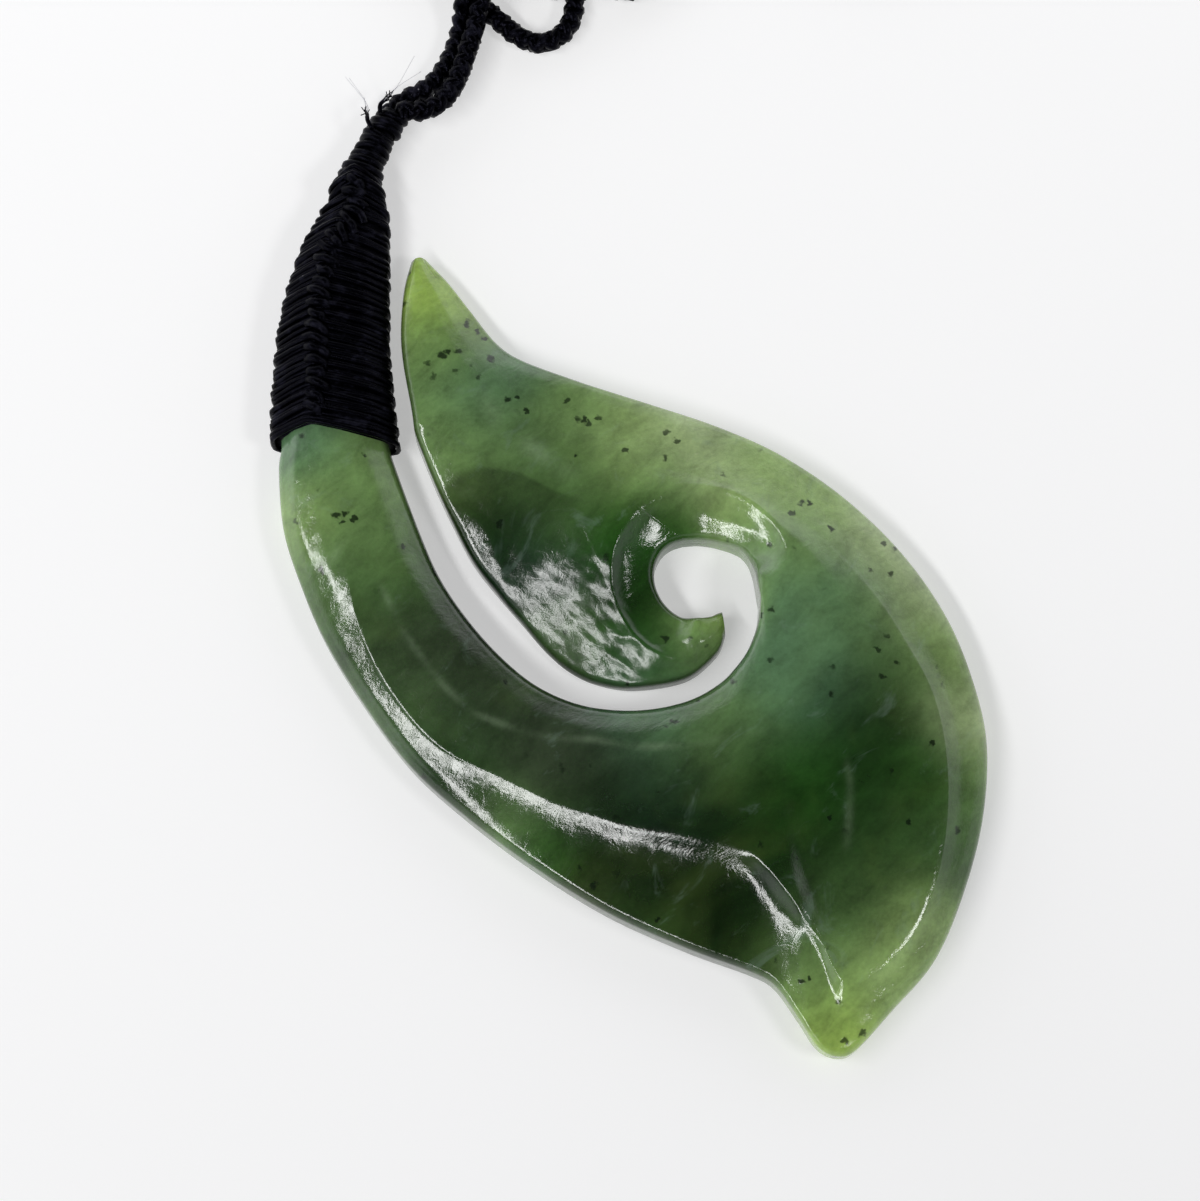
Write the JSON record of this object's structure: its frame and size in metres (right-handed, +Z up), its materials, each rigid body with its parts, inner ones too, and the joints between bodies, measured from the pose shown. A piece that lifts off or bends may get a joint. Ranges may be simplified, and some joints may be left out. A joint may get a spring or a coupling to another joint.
{
  "type": "hei matau pendant",
  "caption": "Carved green stone fish-hook pendant with a curled point round a hole, black thread binding on the shank and a plaited neck cord in a closed loop.",
  "frame": {"origin": "bottom centre of the box round the stone, its binding and its lashing, on the surface the pendant lies on", "axes": "+X from the back of the shank to the shoulder, +Y from the foot to the bound end of the shank, +Z up out of the carved face"},
  "size_m": [0.0647, 0.1834, 0.007],
  "materials": {
    "green_nephrite": "polished, translucent at thin edges, mottled dark to yellow green with black specks",
    "waxed_thread": "fine black waxed thread, tightly wound, slight sheen",
    "plaited_cord": "plaited black waxed cord, slight sheen"
  },
  "bodies": {
    "root": {"stone_hook": "green_nephrite", "shank_binding": "waxed_thread", "neck_lashing": "waxed_thread", "neck_cord": "plaited_cord"}
  },
  "joints": []
}
